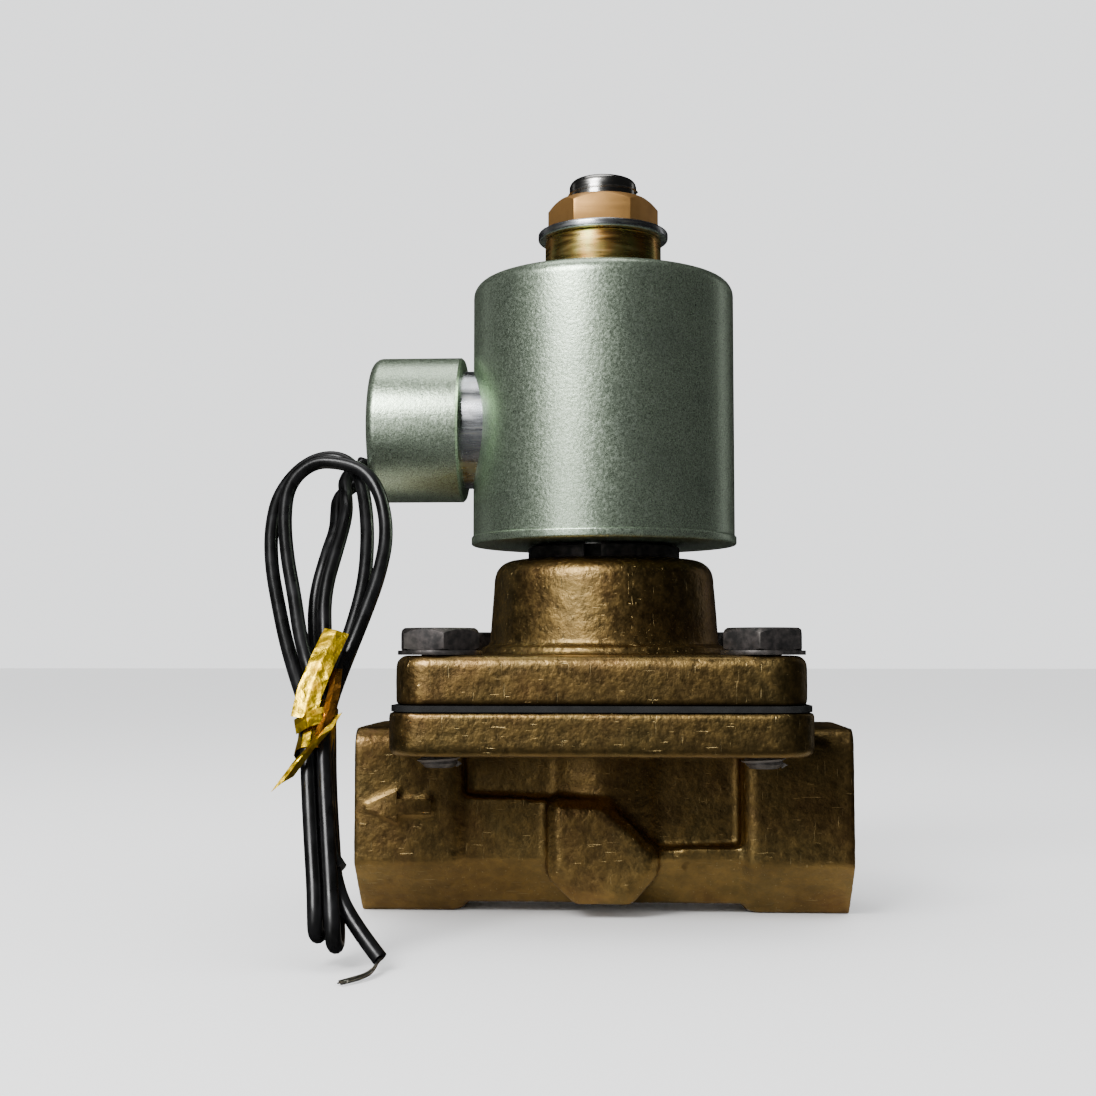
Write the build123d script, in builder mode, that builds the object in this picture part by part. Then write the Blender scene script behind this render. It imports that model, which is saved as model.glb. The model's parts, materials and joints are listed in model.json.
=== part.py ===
from build123d import *
import os
from math import cos, pi, radians, sin, tan

# Two-way pilot-operated solenoid valve with 1/2 inch ports, normally closed.
# Millimetres. Z is the stem axis and Z = 0 the flats that the port bosses stand on.
# Flow enters at +X, drops through the seat in the middle and leaves at -X.

os.makedirs("parts", exist_ok=True)

# Clearances
fit_gap = 0.05  # radius of a hole less the radius of the shaft that runs in it
stack_gap = 0.02  # between clamped pieces of different bodies
face_gap = 0.2  # between faces that pass or press on each other in use
loose_gap = 0.3  # round pieces that hang free in a bore

# Valve body
port_span = 69.0  # from port face to port face
port_height = 13.3
port_radius = 10.48  # major radius of the G1/2 thread
port_depth = 14.0
port_chamfer = 0.8
boss_width = 26.6
boss_length = 15.5
boss_top = 26.2
boss_foot = 12.0  # width of the flat that stands on the ground
boss_slope = 7.4  # height where the sloping lower sides end
boss_shoulder = 2.7
boss_round = 2.2  # inner rim of the bosses
block_width = 24.4
block_foot = 14.0
block_bottom = 1.3
block_slope = 8.0
block_left = 16.8
block_right = 9.8
pad_reach = 14.2  # from the stem axis to the pad's face
pad_step = 0.8
pad_border = 1.0
column_radius = 12.5
web_left = 21.0
web_right = 19.6
inlet_radius = 8.2
outlet_radius = 9.1
duct_width = 14.6
duct_length = 6.2
partition = 3.2  # wall between the seat bore and the inlet duct
seat_radius = 8.0
seat_rim = 1.8
seat_height = 1.5
bowl_radius = 17.6
bowl_floor = 2.0
arrow_length = 9.0
arrow_head = 4.3
arrow_shaft = 2.1
arrow_rise = 0.5
arrow_height = 15.3
arrow_inset = 1.9

# Flanges and the diaphragm between them
flange_length = 56.0
flange_width = 57.0
flange_corner = 5.0
flange_bottom = 22.9
body_flange = 5.9
body_round = 1.3
diaphragm_thickness = 0.8
diaphragm_inset = 0.3
dish_depth = 1.2
dish_flat = 11.2  # radius of the flat middle of the diaphragm
bonnet_inset = 0.8
bonnet_flange = 6.6
bonnet_round = 1.5

# Bonnet neck
step_radius = 18.0
step_height = 1.2
neck_base = 16.8
neck_radius = 15.9
neck_height = 13.8
neck_round = 3.0
chamber_radius = 12.5
chamber_bell = 1.6  # straight part of the wide mouth under the neck
chamber_taper = 3.3
shelf_height = 10.4  # from the bonnet's joint face up to the shelf
shelf_thickness = 2.6
groove_depth = 1.1
groove_radius = 8.6
groove_width = 1.3

# Flange screws, M6 with hexagon heads
screw_pitch = 43.0
screw_radius = 3.0
screw_flats = 10.0
screw_head = 3.0
screw_proud = 1.6
screw_turns = (0, 12, 24, -8)  # how far each head is turned, degrees
washer_radius = 5.6
washer_thickness = 0.6

# Armature tube, core and plunger
tube_radius = 7.0
tube_wall = 0.95
tube_flange = 9.6
tube_flange_height = 2.0
tube_top = 38.5  # from the top of the neck
core_length = 16.9
core_gap = 5.6  # from the plunger to the core with the valve shut
stud_radius = 5.0
stud_dome = 1.2
shading_wall = 0.85  # of the core, outside the shading ring
shading_width = 1.3
shading_depth = 1.5
plunger_groove = 0.7
plunger_pocket = 3.6
plunger_pocket_depth = 12.0
seal_radius = 2.6
seal_depth = 2.2
plunger_spring_radius = 2.8
plunger_spring_wire = 0.38
plunger_spring_turns = 11
main_spring_radius = 9.6
main_spring_wire = 0.55
main_spring_turns = 4

# Moving valve on the diaphragm
seal_gap = 0.1  # under the main seal and over the pilot seat
seat_seal_radius = 10.3
hub_radius = 3.0
orifice_radius = 1.1
hub_head = 5.0
hub_head_height = 1.4
pilot_seat_radius = 2.0
pilot_seat_height = 0.8
plate_thickness = 1.6
bleed_radius = 0.6
bleed_place = 7.0
seal_washer_inset = 0.8  # from the washer's rim to the seat bore
seal_washer_thickness = 1.0
hub_nut_flats = 8.0
hub_nut_height = 2.6
hub_thread_end = 0.7

# Ring nut that holds the armature tube
ring_nut_radius = 11.1
ring_nut_proud = 2.0
ring_slot_width = 2.4
ring_slot_depth = 2.0
ring_slot_turn = -97

# Coil
can_radius = 19.2
can_height = 37.5
can_wall = 1.2
can_round = 2.2
plate_lip = 0.25
base_plate = 1.3
bobbin_wall = 1.3
bobbin_flange = 16.6
bobbin_flange_thickness = 1.4
bobbin_end = 0.7
winding_radius = 15.8
tape_thickness = 0.5
potting_gap = 0.2

# Conduit hub
hub_height = 69.5
conduit_radius = 10.7
conduit_end = 33.9  # from the stem axis
conduit_start = 20.6
conduit_round = 1.5
conduit_bore = 8.2
conduit_waist = 6.4
nipple_radius = 8.7
nipple_bore = 6.8
nipple_seat = 2.0
grommet_inset = 0.9
grommet_length = 8.8
relief_root = 1.65

# Collar, washer and nut on the stud
collar_radius = 8.6
collar_height = 6.4
stem_washer_radius = 9.65
stem_washer_thickness = 1.2
coil_nut_flats = 14.2
coil_nut_height = 4.6
stud_proud = 3.4

# Leads and their hank, which leans forward until its foot is on the ground
lead_diameter = 1.9
hank_waist_x = -35.0
hank_waist_y = -34.6
hank_waist_z = 28.9
hank_lean = 29
hank_thickness = 5.8
tie_height = 4.4
tie_thickness = 0.4
tie_reach = 2.2  # half the width of the bundle inside the tie
strand_radius = 0.3

# Levels that follow from the sizes above
body_top = flange_bottom + body_flange
bonnet_bottom = body_top + diaphragm_thickness
bonnet_face = bonnet_bottom + bonnet_flange
neck_top = bonnet_face + neck_height
shelf_bottom = bonnet_bottom + shelf_height
shelf_top = shelf_bottom + shelf_thickness
tube_flange_top = shelf_top + tube_flange_height
tube_end = neck_top + tube_top
core_bottom = tube_end - core_length
ring_nut_top = neck_top + ring_nut_proud
plate_bottom = ring_nut_top + face_gap
can_bottom = plate_bottom + base_plate
can_top = can_bottom + can_height
collar_bottom = can_top + face_gap
collar_top = collar_bottom + collar_height
stem_washer_top = collar_top + stem_washer_thickness
coil_nut_top = stem_washer_top + coil_nut_height
stud_top = coil_nut_top + stud_proud
bowl_bottom = flange_bottom + bowl_floor
seat_top = bowl_bottom + seat_height
web_bottom = body_top - dish_depth
web_top = web_bottom + diaphragm_thickness
plate_radius = dish_flat - face_gap
plate_seat = web_top + stack_gap
plate_top = plate_seat + plate_thickness
hub_top = plate_top + hub_head_height
pilot_seat_top = hub_top + pilot_seat_height
plunger_bottom = pilot_seat_top + seal_gap
plunger_top = core_bottom - core_gap
tube_bore = tube_radius - tube_wall
shading_outer = tube_bore - shading_wall
shading_inner = shading_outer - shading_width
plunger_radius = tube_bore - fit_gap
seal_washer_top = seat_top + seal_gap
screw_seat = bonnet_face + washer_thickness
screw_tip = flange_bottom - screw_proud


# Valve body: the pieces of the casting, then its passages
with BuildPart() as lower_block:
    with BuildSketch(Plane.XZ):
        with BuildLine():
            Polyline(
                (-port_span / 2 + boss_length - 1, block_bottom),
                (port_span / 2 - boss_length + 1, block_bottom),
                (port_span / 2 - boss_length + 1, block_right),
                (7.0, block_right - 0.2),
                (0.8, block_left - 0.9),
                (-port_span / 2 + boss_length - 1, block_left),
                close=True,
            )
        make_face()
    extrude(amount=block_width / 2, both=True)
    fillet(lower_block.edges().filter_by(Axis.Y).group_by(Axis.Z)[-1], 1.0)
    with BuildSketch(Plane.YZ):
        with BuildLine():
            Polyline(
                (-block_foot / 2, block_bottom),
                (block_foot / 2, block_bottom),
                (block_width / 2, block_slope),
                (block_width / 2, flange_bottom),
                (-block_width / 2, flange_bottom),
                (-block_width / 2, block_slope),
                close=True,
            )
        make_face()
    extrude(amount=port_span / 2, both=True, mode=Mode.INTERSECT)

with BuildPart() as body_plate:
    with BuildSketch(Plane.XY.offset(flange_bottom)):
        RectangleRounded(flange_length, flange_width, flange_corner)
    extrude(amount=body_flange)
    fillet(body_plate.faces().sort_by(Axis.Z)[0].edges(), body_round)

with BuildPart() as valve_body:
    # port bosses with a flat foot, sloping lower sides and round shoulders
    for side in (-1, 1):
        with BuildSketch(Plane.YZ.offset(side * port_span / 2)) as boss_face:
            with BuildLine():
                Polyline(
                    (-boss_foot / 2, 0),
                    (boss_foot / 2, 0),
                    (boss_width / 2, boss_slope),
                    (boss_width / 2, boss_top),
                    (-boss_width / 2, boss_top),
                    (-boss_width / 2, boss_slope),
                    close=True,
                )
            make_face()
            fillet(boss_face.vertices().group_by(Axis.Y)[-1], boss_shoulder)
        extrude(amount=-side * boss_length)
    inner_faces = valve_body.faces().filter_by(Axis.X).sort_by(Axis.X)[1:3]
    fillet(inner_faces.edges(), boss_round)
    add(lower_block.part)
    # raised pad with a narrow step round it, front and back
    with BuildSketch(Plane.XZ) as pad:
        with BuildLine():
            Polyline(
                (-6.7, 6.0),
                (-3.5, 3.0),
                (3.6, 3.0),
                (6.6, 6.4),
                (6.9, 8.8),
                (0.4, 15.2),
                (-6.7, 15.7),
                close=True,
            )
        make_face()
        fillet(pad.vertices(), 0.6)
    extrude(amount=pad_reach, both=True)
    with BuildSketch(Plane.XZ):
        add(pad.sketch_local)
        offset(amount=pad_border, kind=Kind.ARC)
    extrude(amount=pad_reach - pad_step, both=True)
    # round column and the webs that join it to the bosses
    with BuildSketch(Plane.XY.offset(block_slope)):
        Circle(column_radius)
    extrude(amount=flange_bottom - block_slope)
    for side, width in ((-1, web_left), (1, web_right)):
        with BuildSketch(Plane.XY.offset(block_slope)):
            with Locations((side * (port_span / 2 - boss_length) / 2, 0)):
                Rectangle(port_span / 2 - boss_length + 2, width)
        extrude(amount=flange_bottom - block_slope)
    add(body_plate.part)
    # bowl under the diaphragm, and the ring of the seat
    with BuildSketch(Plane.XY.offset(bowl_bottom)):
        Circle(bowl_radius)
    extrude(amount=body_top - bowl_bottom, mode=Mode.SUBTRACT)
    with BuildSketch(Plane.XY.offset(bowl_bottom)):
        Circle(seat_radius + seat_rim)
    extrude(amount=seat_height)
    # seat bore, down to the level of the outlet passage
    with BuildSketch(Plane.XY.offset(seat_top)):
        Circle(seat_radius)
    extrude(amount=port_height - inlet_radius - seat_top, mode=Mode.SUBTRACT)
    # inlet duct that rises from the right-hand port into the bowl
    with BuildSketch(Plane.XY.offset(port_height)):
        with Locations((seat_radius + partition + duct_length / 2, 0)):
            Rectangle(duct_length, duct_width)
    extrude(amount=bowl_bottom - port_height, mode=Mode.SUBTRACT)
    with BuildSketch(Plane.YZ.offset(seat_radius + partition)):
        with Locations((0, port_height)):
            Circle(inlet_radius)
    extrude(amount=port_span / 2 - seat_radius - partition - 1, mode=Mode.SUBTRACT)
    with BuildSketch(Plane.YZ):
        with Locations((0, port_height)):
            Circle(outlet_radius)
    extrude(amount=1 - port_span / 2, mode=Mode.SUBTRACT)
    # threaded ports, drawn at the major diameter, with a chamfered mouth
    for side in (-1, 1):
        with BuildSketch(Plane.YZ.offset(side * port_span / 2)):
            with Locations((0, port_height)):
                Circle(port_radius)
        extrude(amount=-side * port_depth, mode=Mode.SUBTRACT)
        mouth = valve_body.edges().filter_by(GeomType.CIRCLE)
        mouth = mouth.filter_by_position(Axis.X, side * port_span / 2 - 0.01, side * port_span / 2 + 0.01)
        chamfer(mouth.sort_by(SortBy.RADIUS)[-1], port_chamfer)
    with BuildSketch(Plane.XY.offset(flange_bottom)):
        with GridLocations(screw_pitch, screw_pitch, 2, 2):
            Circle(screw_radius + fit_gap)
    extrude(amount=body_flange, mode=Mode.SUBTRACT)
    # flow arrow that stands proud of the left-hand boss
    with BuildSketch(Plane.XZ.offset(boss_width / 2)):
        with BuildLine():
            tip = -port_span / 2 + arrow_inset
            Polyline(
                (tip, arrow_height),
                (tip + arrow_head, arrow_height + arrow_head / 2),
                (tip + arrow_head, arrow_height + arrow_shaft / 2),
                (tip + arrow_length, arrow_height + arrow_shaft / 2),
                (tip + arrow_length, arrow_height - arrow_shaft / 2),
                (tip + arrow_head, arrow_height - arrow_shaft / 2),
                (tip + arrow_head, arrow_height - arrow_head / 2),
                close=True,
            )
        make_face()
    extrude(amount=arrow_rise)
valve_body.part.label = "valve_body"
export_step(valve_body.part, "parts/valve_body.step")

# Bonnet: flange, stepped neck, chamber over the diaphragm and the thread for the ring nut
with BuildPart() as bonnet:
    with BuildSketch(Plane.XY.offset(bonnet_bottom)):
        RectangleRounded(
            flange_length - 2 * bonnet_inset, flange_width - 2 * bonnet_inset, flange_corner
        )
    extrude(amount=bonnet_flange)
    fillet(bonnet.faces().sort_by(Axis.Z)[-1].edges(), bonnet_round)
    with BuildSketch(Plane.XZ) as neck_half:
        with BuildLine():
            Polyline(
                (0, bonnet_bottom + 1),
                (step_radius, bonnet_bottom + 1),
                (step_radius, bonnet_face + step_height),
                (neck_base, bonnet_face + step_height),
                (neck_radius, neck_top),
                (0, neck_top),
                close=True,
            )
        make_face()
        fillet(neck_half.vertices().filter_by(lambda v: v.X == neck_radius), neck_round)
    revolve(axis=Axis.Z)
    with BuildSketch(Plane.XZ):
        with BuildLine():
            Polyline(
                (0, bonnet_bottom),
                (bowl_radius, bonnet_bottom),
                (bowl_radius, bonnet_bottom + chamber_bell),
                (chamber_radius, bonnet_bottom + chamber_bell + chamber_taper),
                (chamber_radius, shelf_bottom),
                (tube_radius + loose_gap, shelf_bottom),
                (tube_radius + loose_gap, shelf_top),
                (tube_flange + 2 * fit_gap, shelf_top),
                (tube_flange + 2 * fit_gap, tube_flange_top),
                (ring_nut_radius + fit_gap, tube_flange_top),
                (ring_nut_radius + fit_gap, neck_top),
                (0, neck_top),
                close=True,
            )
        make_face()
    revolve(axis=Axis.Z, mode=Mode.SUBTRACT)
    with BuildSketch(Plane.XY.offset(shelf_top)):
        Circle(groove_radius + groove_width / 2)
        Circle(groove_radius - groove_width / 2, mode=Mode.SUBTRACT)
    extrude(amount=-groove_depth, mode=Mode.SUBTRACT)
    with BuildSketch(Plane.XY.offset(bonnet_bottom)):
        with GridLocations(screw_pitch, screw_pitch, 2, 2):
            Circle(screw_radius + loose_gap)
    extrude(amount=bonnet_flange, mode=Mode.SUBTRACT)
bonnet.part.label = "bonnet"
export_step(bonnet.part, "parts/bonnet.step")

# Diaphragm: clamped rim, and a middle that dishes down to the seat
with BuildPart() as diaphragm:
    with BuildSketch(Plane.XY.offset(body_top)):
        RectangleRounded(
            flange_length - 2 * diaphragm_inset, flange_width - 2 * diaphragm_inset, flange_corner
        )
        Circle(bowl_radius - 1, mode=Mode.SUBTRACT)
        with GridLocations(screw_pitch, screw_pitch, 2, 2):
            Circle(screw_radius + loose_gap, mode=Mode.SUBTRACT)
    extrude(amount=diaphragm_thickness)
    with BuildSketch(Plane.XZ):
        with BuildLine():
            Polyline(
                (hub_radius + fit_gap, web_bottom),
                (dish_flat, web_bottom),
                (bowl_radius - 1, body_top),
                (bowl_radius, body_top),
                (bowl_radius, bonnet_bottom),
                (bowl_radius - 1, bonnet_bottom),
                (dish_flat, web_top),
                (hub_radius + fit_gap, web_top),
                close=True,
            )
        make_face()
    revolve(axis=Axis.Z)
    with BuildSketch(Plane.XY.offset(web_bottom)):
        with Locations((bleed_place, 0)):
            Circle(bleed_radius)
    extrude(amount=diaphragm_thickness, mode=Mode.SUBTRACT)
diaphragm.part.label = "diaphragm"
export_step(diaphragm.part, "parts/diaphragm.step")

# Flange screws: four separate solids in one node
screw_places = [(x * screw_pitch / 2, y * screw_pitch / 2) for y in (-1, 1) for x in (-1, 1)]
with BuildPart() as flange_screws:
    for place, turn in zip(screw_places, screw_turns):
        with BuildSketch(Plane.XY.offset(screw_seat)):
            with Locations(place):
                RegularPolygon(screw_flats / 2, 6, major_radius=False, rotation=turn)
        extrude(amount=screw_head)
        with BuildSketch(Plane.XY.offset(screw_seat)):
            with Locations(place):
                Circle(screw_radius)
        extrude(amount=screw_tip - screw_seat)
    chamfer(flange_screws.faces().group_by(Axis.Z)[-1].edges(), 0.4)
    fillet(flange_screws.faces().group_by(Axis.Z)[0].edges(), 0.8)
flange_screws.part.label = "flange_screws"
export_step(flange_screws.part, "parts/flange_screws.step")

with BuildPart() as screw_washers:
    with BuildSketch(Plane.XY.offset(bonnet_face)):
        with GridLocations(screw_pitch, screw_pitch, 2, 2):
            Circle(washer_radius)
            Circle(screw_radius + loose_gap, mode=Mode.SUBTRACT)
    extrude(amount=washer_thickness)
screw_washers.part.label = "screw_washers"
export_step(screw_washers.part, "parts/screw_washers.step")

# Armature tube, its O-ring and the slotted ring nut that clamps it
with BuildPart() as armature_tube:
    with BuildSketch(Plane.XY.offset(shelf_top)):
        Circle(tube_flange)
    extrude(amount=tube_flange_height)
    with BuildSketch(Plane.XY.offset(shelf_top)):
        Circle(tube_radius)
    extrude(amount=tube_end - shelf_top)
    with BuildSketch(Plane.XY.offset(shelf_top)):
        Circle(tube_bore)
    extrude(amount=tube_end - shelf_top, mode=Mode.SUBTRACT)
armature_tube.part.label = "armature_tube"
export_step(armature_tube.part, "parts/armature_tube.step")

with BuildPart() as tube_o_ring:
    with BuildSketch(Plane.XZ):
        with Locations((groove_radius, shelf_top - groove_depth / 2)):
            Circle(groove_depth / 2 - stack_gap)
    revolve(axis=Axis.Z)
tube_o_ring.part.label = "tube_o_ring"
export_step(tube_o_ring.part, "parts/tube_o_ring.step")

with BuildPart() as tube_ring_nut:
    with BuildSketch(Plane.XY.offset(tube_flange_top)):
        Circle(ring_nut_radius)
        Circle(tube_radius + face_gap, mode=Mode.SUBTRACT)
    extrude(amount=ring_nut_top - tube_flange_top)
    chamfer(tube_ring_nut.faces().sort_by(Axis.Z)[-1].edges(), 0.3)
    with BuildSketch(Plane.XY.offset(ring_nut_top)):
        with PolarLocations(ring_nut_radius, 4, start_angle=ring_slot_turn):
            Rectangle(2 * ring_slot_width, ring_slot_width)
    extrude(amount=-ring_slot_depth, mode=Mode.SUBTRACT)
tube_ring_nut.part.label = "tube_ring_nut"
export_step(tube_ring_nut.part, "parts/tube_ring_nut.step")

# Fixed core with its stud, and the shading ring let into its lower face
with BuildPart() as fixed_core:
    with BuildSketch(Plane.XY.offset(core_bottom)):
        Circle(tube_bore - stack_gap)
    extrude(amount=core_length)
    with BuildSketch(Plane.XY.offset(tube_end)):
        Circle(stud_radius)
    extrude(amount=stud_top - tube_end)
    fillet(fixed_core.faces().sort_by(Axis.Z)[-1].edges(), stud_dome)
    with BuildSketch(Plane.XY.offset(core_bottom)):
        Circle(shading_outer)
        Circle(shading_inner, mode=Mode.SUBTRACT)
    extrude(amount=shading_depth, mode=Mode.SUBTRACT)
fixed_core.part.label = "fixed_core"
export_step(fixed_core.part, "parts/fixed_core.step")

with BuildPart() as shading_ring:
    with BuildSketch(Plane.XY.offset(core_bottom)):
        Circle(shading_outer - stack_gap)
        Circle(shading_inner + stack_gap, mode=Mode.SUBTRACT)
    extrude(amount=shading_depth)
shading_ring.part.label = "shading_ring"
export_step(shading_ring.part, "parts/shading_ring.step")

# Plunger: side grooves let the fluid past, the pocket holds its spring
with BuildPart() as plunger:
    with BuildSketch(Plane.XY.offset(plunger_bottom)):
        Circle(plunger_radius)
        with PolarLocations(plunger_radius, 2, start_angle=90):
            Rectangle(2 * plunger_groove, 2 * plunger_groove, mode=Mode.SUBTRACT)
    extrude(amount=plunger_top - plunger_bottom)
    with BuildSketch(Plane.XY.offset(plunger_top)):
        Circle(plunger_pocket)
    extrude(amount=-plunger_pocket_depth, mode=Mode.SUBTRACT)
    with BuildSketch(Plane.XY.offset(plunger_bottom)):
        Circle(seal_radius + stack_gap)
    extrude(amount=seal_depth, mode=Mode.SUBTRACT)
plunger.part.label = "plunger"
export_step(plunger.part, "parts/plunger.step")

with BuildPart() as plunger_seal:
    with BuildSketch(Plane.XY.offset(plunger_bottom)):
        Circle(seal_radius)
    extrude(amount=seal_depth)
plunger_seal.part.label = "plunger_seal"
export_step(plunger_seal.part, "parts/plunger_seal.step")

with BuildPart() as plunger_spring:
    spring_foot = plunger_top - plunger_pocket_depth + plunger_spring_wire + stack_gap
    spring_head = core_bottom - plunger_spring_wire - stack_gap
    with BuildLine() as spring_line:
        Helix(
            (spring_head - spring_foot) / plunger_spring_turns,
            spring_head - spring_foot,
            plunger_spring_radius,
            center=(0, 0, spring_foot),
        )
    with BuildSketch(Plane(origin=spring_line.line @ 0, z_dir=spring_line.line % 0)):
        Circle(plunger_spring_wire)
    sweep(is_frenet=True)
plunger_spring.part.label = "plunger_spring"
export_step(plunger_spring.part, "parts/plunger_spring.step")

# Moving valve: seal, washer and nut below the diaphragm, plate and pilot hub above it
with BuildPart() as seat_seal:
    with BuildSketch(Plane.XY.offset(seal_washer_top)):
        Circle(seat_seal_radius)
        Circle(hub_radius + fit_gap, mode=Mode.SUBTRACT)
    extrude(amount=web_bottom - stack_gap - seal_washer_top)
    with BuildSketch(Plane.XY.offset(seal_washer_top)):
        with Locations((bleed_place, 0)):
            Circle(bleed_radius)
    extrude(amount=web_bottom - seal_washer_top, mode=Mode.SUBTRACT)
seat_seal.part.label = "seat_seal"
export_step(seat_seal.part, "parts/seat_seal.step")

with BuildPart() as seal_washer:
    with BuildSketch(Plane.XY.offset(seal_washer_top - seal_washer_thickness)):
        Circle(seat_radius - seal_washer_inset)
        Circle(hub_radius + fit_gap, mode=Mode.SUBTRACT)
    extrude(amount=seal_washer_thickness)
    chamfer(seal_washer.edges().filter_by(GeomType.CIRCLE).sort_by(SortBy.RADIUS)[-2:], 0.2)
seal_washer.part.label = "seal_washer"
export_step(seal_washer.part, "parts/seal_washer.step")

with BuildPart() as hub_nut:
    with BuildSketch(Plane.XY.offset(seal_washer_top - seal_washer_thickness)):
        RegularPolygon(hub_nut_flats / 2, 6, major_radius=False)
        Circle(hub_radius + fit_gap, mode=Mode.SUBTRACT)
    extrude(amount=-hub_nut_height)
hub_nut.part.label = "hub_nut"
export_step(hub_nut.part, "parts/hub_nut.step")

with BuildPart() as diaphragm_plate:
    with BuildSketch(Plane.XY.offset(plate_seat)):
        Circle(plate_radius)
        Circle(hub_radius + fit_gap, mode=Mode.SUBTRACT)
        with Locations((bleed_place, 0)):
            Circle(bleed_radius, mode=Mode.SUBTRACT)
    extrude(amount=plate_thickness)
    fillet(diaphragm_plate.edges().filter_by(GeomType.CIRCLE).sort_by(SortBy.RADIUS)[-2:], 0.4)
diaphragm_plate.part.label = "diaphragm_plate"
export_step(diaphragm_plate.part, "parts/diaphragm_plate.step")

with BuildPart() as pilot_hub:
    hub_bottom = seal_washer_top - seal_washer_thickness - hub_nut_height - hub_thread_end
    with BuildSketch(Plane.XY.offset(hub_bottom)):
        Circle(hub_radius)
    extrude(amount=plate_top - hub_bottom)
    with BuildSketch(Plane.XY.offset(plate_top)):
        Circle(hub_head)
    extrude(amount=hub_head_height)
    chamfer(pilot_hub.faces().sort_by(Axis.Z)[-1].edges(), 0.3)
    with BuildSketch(Plane.XY.offset(hub_top)):
        Circle(pilot_seat_radius)
    extrude(amount=pilot_seat_height)
    with BuildSketch(Plane.XY.offset(hub_bottom)):
        Circle(orifice_radius)
    extrude(amount=pilot_seat_top - hub_bottom, mode=Mode.SUBTRACT)
pilot_hub.part.label = "pilot_hub"
export_step(pilot_hub.part, "parts/pilot_hub.step")

with BuildPart() as main_spring:
    coil_foot = plate_top + main_spring_wire + stack_gap
    coil_head = shelf_bottom - main_spring_wire - stack_gap
    with BuildLine() as coil_line:
        Helix(
            (coil_head - coil_foot) / main_spring_turns,
            coil_head - coil_foot,
            main_spring_radius,
            center=(0, 0, coil_foot),
        )
    with BuildSketch(Plane(origin=coil_line.line @ 0, z_dir=coil_line.line % 0)):
        Circle(main_spring_wire)
    sweep(is_frenet=True)
main_spring.part.label = "main_spring"
export_step(main_spring.part, "parts/main_spring.step")

# Coil: base plate, can, bobbin, winding and tape, all turning on the armature tube
with BuildPart() as coil_base_plate:
    with BuildSketch(Plane.XY.offset(plate_bottom)):
        Circle(can_radius + plate_lip)
        Circle(tube_radius + fit_gap, mode=Mode.SUBTRACT)
    extrude(amount=base_plate)
    fillet(coil_base_plate.edges().filter_by(GeomType.CIRCLE).sort_by(SortBy.RADIUS)[-2:], 0.3)
coil_base_plate.part.label = "coil_base_plate"
export_step(coil_base_plate.part, "parts/coil_base_plate.step")

with BuildPart() as coil_can:
    with BuildSketch(Plane.XY.offset(can_bottom)):
        Circle(can_radius)
    extrude(amount=can_height)
    fillet(coil_can.faces().sort_by(Axis.Z)[-1].edges(), can_round)
    with BuildSketch(Plane.XY.offset(can_bottom)):
        Circle(can_radius - can_wall)
    extrude(amount=can_height - can_wall, mode=Mode.SUBTRACT)
    with BuildSketch(Plane.XY.offset(can_top)):
        Circle(tube_radius + fit_gap)
    extrude(amount=-can_wall, mode=Mode.SUBTRACT)
    with BuildSketch(Plane.YZ):
        with Locations((0, hub_height)):
            Circle(nipple_radius + fit_gap)
    extrude(amount=-can_radius, mode=Mode.SUBTRACT)
coil_can.part.label = "coil_can"
export_step(coil_can.part, "parts/coil_can.step")

bobbin_bottom = can_bottom + bobbin_end
bobbin_top = can_top - can_wall - bobbin_end
bobbin_core = tube_radius + loose_gap + bobbin_wall
with BuildPart() as coil_bobbin:
    with BuildSketch(Plane.XY.offset(bobbin_bottom)):
        Circle(bobbin_core)
    extrude(amount=bobbin_top - bobbin_bottom)
    for level, rise in ((bobbin_bottom, 1), (bobbin_top, -1)):
        with BuildSketch(Plane.XY.offset(level)):
            Circle(bobbin_flange)
        extrude(amount=rise * bobbin_flange_thickness)
    with BuildSketch(Plane.XY.offset(bobbin_bottom)):
        Circle(tube_radius + loose_gap)
    extrude(amount=bobbin_top - bobbin_bottom, mode=Mode.SUBTRACT)
coil_bobbin.part.label = "coil_bobbin"
export_step(coil_bobbin.part, "parts/coil_bobbin.step")

winding_bottom = bobbin_bottom + bobbin_flange_thickness
winding_top = bobbin_top - bobbin_flange_thickness
with BuildPart() as coil_winding:
    with BuildSketch(Plane.XY.offset(winding_bottom)):
        Circle(winding_radius)
        Circle(bobbin_core + stack_gap, mode=Mode.SUBTRACT)
    extrude(amount=winding_top - winding_bottom)
coil_winding.part.label = "coil_winding"
export_step(coil_winding.part, "parts/coil_winding.step")

with BuildPart() as winding_tape:
    with BuildSketch(Plane.XY.offset(winding_bottom)):
        Circle(winding_radius + stack_gap + tape_thickness)
        Circle(winding_radius + stack_gap, mode=Mode.SUBTRACT)
    extrude(amount=winding_top - winding_bottom)
winding_tape.part.label = "winding_tape"
export_step(winding_tape.part, "parts/winding_tape.step")

# Conduit hub on its nipple, with the grommet that the leads leave by
with BuildPart() as hub_nipple:
    with BuildSketch(Plane.YZ.offset(-conduit_start - nipple_seat)):
        with Locations((0, hub_height)):
            Circle(nipple_radius)
            Circle(nipple_bore, mode=Mode.SUBTRACT)
    extrude(amount=conduit_start + nipple_seat - nipple_radius)
    with BuildSketch(Plane.XY.offset(can_bottom)):
        Circle(bobbin_flange + potting_gap)
    extrude(amount=can_height, mode=Mode.SUBTRACT)
hub_nipple.part.label = "hub_nipple"
export_step(hub_nipple.part, "parts/hub_nipple.step")

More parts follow.
